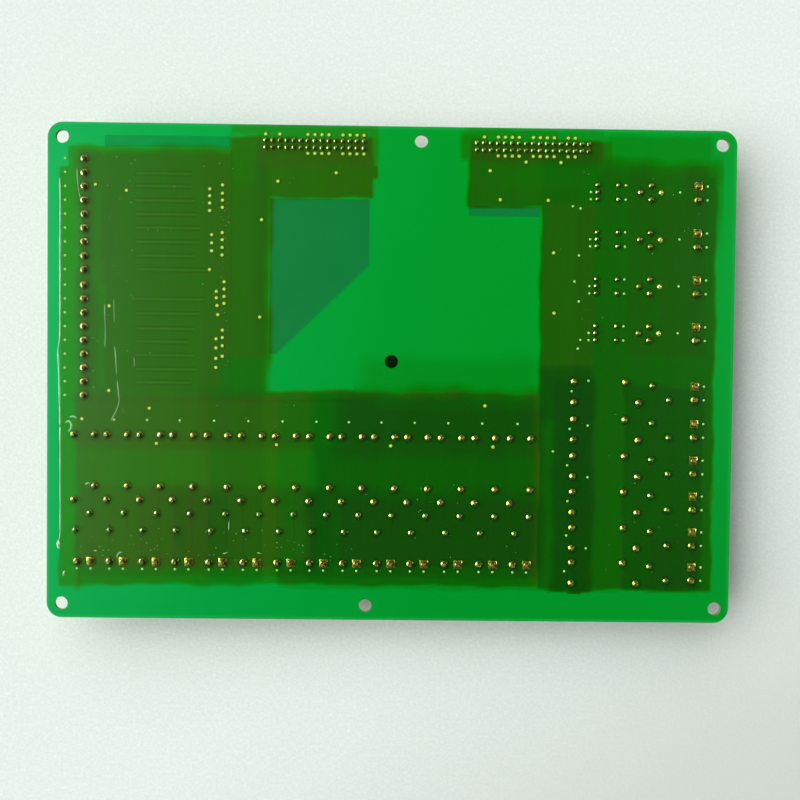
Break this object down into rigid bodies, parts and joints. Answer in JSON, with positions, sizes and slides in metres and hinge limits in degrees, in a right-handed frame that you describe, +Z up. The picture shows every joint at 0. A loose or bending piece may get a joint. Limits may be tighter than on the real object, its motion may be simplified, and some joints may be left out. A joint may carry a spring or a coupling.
{
  "type": "air conditioner control board",
  "caption": "Rectangular green circuit board with rounded corners, relays, terminal blocks and ribbon headers beneath and coated solder joints on top.",
  "frame": {"origin": "centre of the board's outline, at the level of the relays' faces that the part lies on", "axes": "+X along the board's length, +Y towards the ribbon header edge, +Z up out of the solder side"},
  "size_m": [0.25, 0.18, 0.0184],
  "materials": {
    "laminate": "glass-epoxy laminate under a glossy green solder mask",
    "coating_film": "brushed amber-brown protective varnish, glossy and translucent",
    "gold_plating": "gold flash over nickel and copper",
    "black_moulding": "glass-filled black polyester, fine mould texture",
    "green_moulding": "green polyamide, smooth moulding",
    "white_moulding": "natural white polyamide",
    "relay_case": "black polyester case, sealed",
    "plated_steel": "zinc-plated steel",
    "tinned_brass": "tin-plated brass",
    "tinned_copper": "tin-plated copper lead",
    "plated_copper": "nickel-plated copper plate",
    "solder": "tin-lead solder under amber varnish, bright with a warm tone",
    "blue_resin": "dipped blue epoxy",
    "white_resin": "white moulded epoxy",
    "black_resin": "black moulded epoxy",
    "resistor_body": "black glazed alumina chip",
    "capacitor_body": "tan ceramic chip",
    "lamp_resin": "clear lamp resin",
    "tinned_ends": "tinned end cap"
  },
  "bodies": {
    "root": {"board": "laminate", "coating": "coating_film", "via_plating": "gold_plating", "header_30_housing": "black_moulding", "header_30_pins": "gold_plating", "header_34_housing": "black_moulding", "header_34_pins": "gold_plating", "terminal_block_upper": "green_moulding", "terminal_block_lower": "green_moulding", "terminal_cages": "plated_steel", "terminal_screws": "plated_steel", "terminal_pins": "tinned_brass", "relay_1": "relay_case", "relay_2": "relay_case", "relay_3": "relay_case", "relay_4": "relay_case", "relay_5": "relay_case", "relay_6": "relay_case", "relay_7": "relay_case", "relay_8": "relay_case", "relay_9": "relay_case", "relay_10": "relay_case", "relay_11": "relay_case", "relay_12": "relay_case", "relay_13": "relay_case", "relay_14": "relay_case", "relay_15": "relay_case", "relay_16": "relay_case", "relay_17": "relay_case", "relay_18": "relay_case", "relay_19": "relay_case", "relay_20": "relay_case", "relay_pins": "tinned_brass", "varistors": "blue_resin", "varistor_leads": "tinned_copper", "output_connectors_row": "white_moulding", "output_connectors_column": "white_moulding", "output_connectors_triac": "white_moulding", "output_posts": "tinned_brass", "opto_triacs": "white_resin", "opto_triac_legs": "tinned_copper", "triacs": "black_resin", "triac_plates": "plated_copper", "triac_legs": "tinned_copper", "header_solder": "solder", "terminal_solder": "solder", "relay_solder": "solder", "varistor_solder": "solder", "output_solder": "solder", "opto_triac_solder": "solder", "triac_solder": "solder", "input_couplers": "black_resin", "relay_drivers": "black_resin", "chip_legs": "tinned_copper", "chip_resistors": "resistor_body", "chip_capacitors": "capacitor_body", "status_lamps": "lamp_resin", "chip_ends": "tinned_ends"}
  },
  "joints": []
}
